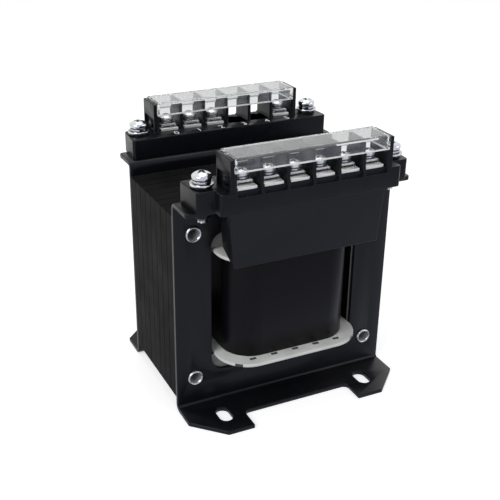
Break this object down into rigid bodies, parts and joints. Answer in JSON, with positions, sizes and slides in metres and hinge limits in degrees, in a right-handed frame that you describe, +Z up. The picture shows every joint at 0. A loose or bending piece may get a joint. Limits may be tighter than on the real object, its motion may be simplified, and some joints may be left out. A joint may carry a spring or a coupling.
{
  "type": "laminated chassis transformer",
  "caption": "Laminated core transformer in two pressed frames with slotted feet, a taped coil on a bobbin, and covered screw terminal blocks along the top at front and rear.",
  "frame": {"origin": "on the mounting plane under the middle of the core", "axes": "+X to the right along the terminal blocks seen from the front, +Y through the lamination stack from front to rear, +Z up from the feet to the covers"},
  "size_m": [0.084, 0.084, 0.099],
  "materials": {
    "core_varnish": "silicon steel sheets dipped in black varnish",
    "frame_paint": "semi-gloss black paint on steel sheet",
    "rivet_steel": "plain steel",
    "bobbin_plastic": "natural white moulding",
    "winding_wire": "enamelled copper wire in layers",
    "barrier_film": "amber polyester film",
    "outer_tape": "glossy black tape",
    "block_plastic": "black moulding with a low sheen",
    "cover_plastic": "clear",
    "lead_wire": "enamelled copper",
    "screw_zinc": "bright zinc plate",
    "washer_zinc": "bright zinc plate",
    "terminal_plate": "nickel plate"
  },
  "bodies": {
    "root": {"block_flat_washers": "washer_zinc", "block_screws": "screw_zinc", "bobbin": "bobbin_plastic", "core_e_stack": "core_varnish", "core_i_stack": "core_varnish", "front_clamp_washers": "washer_zinc", "front_cover": "cover_plastic", "front_frame": "frame_paint", "front_lead_1": "lead_wire", "front_lead_2": "lead_wire", "front_lead_3": "lead_wire", "front_lead_4": "lead_wire", "front_lead_5": "lead_wire", "front_lead_6": "lead_wire", "front_terminal_1": "terminal_plate", "front_terminal_2": "terminal_plate", "front_terminal_3": "terminal_plate", "front_terminal_4": "terminal_plate", "front_terminal_5": "terminal_plate", "front_terminal_6": "terminal_plate", "front_terminal_block": "block_plastic", "front_terminal_screws": "screw_zinc", "lower_left_rivet": "rivet_steel", "lower_right_rivet": "rivet_steel", "outer_tape": "outer_tape", "primary_winding": "winding_wire", "rear_clamp_washers": "washer_zinc", "rear_cover": "cover_plastic", "rear_frame": "frame_paint", "rear_lead_0": "lead_wire", "rear_lead_1": "lead_wire", "rear_lead_2": "lead_wire", "rear_lead_5": "lead_wire", "rear_terminal_0": "terminal_plate", "rear_terminal_1": "terminal_plate", "rear_terminal_2": "terminal_plate", "rear_terminal_5": "terminal_plate", "rear_terminal_block": "block_plastic", "rear_terminal_screws": "screw_zinc", "secondary_winding": "winding_wire", "upper_left_rivet": "rivet_steel", "upper_right_rivet": "rivet_steel", "winding_barrier": "barrier_film"}
  },
  "joints": []
}
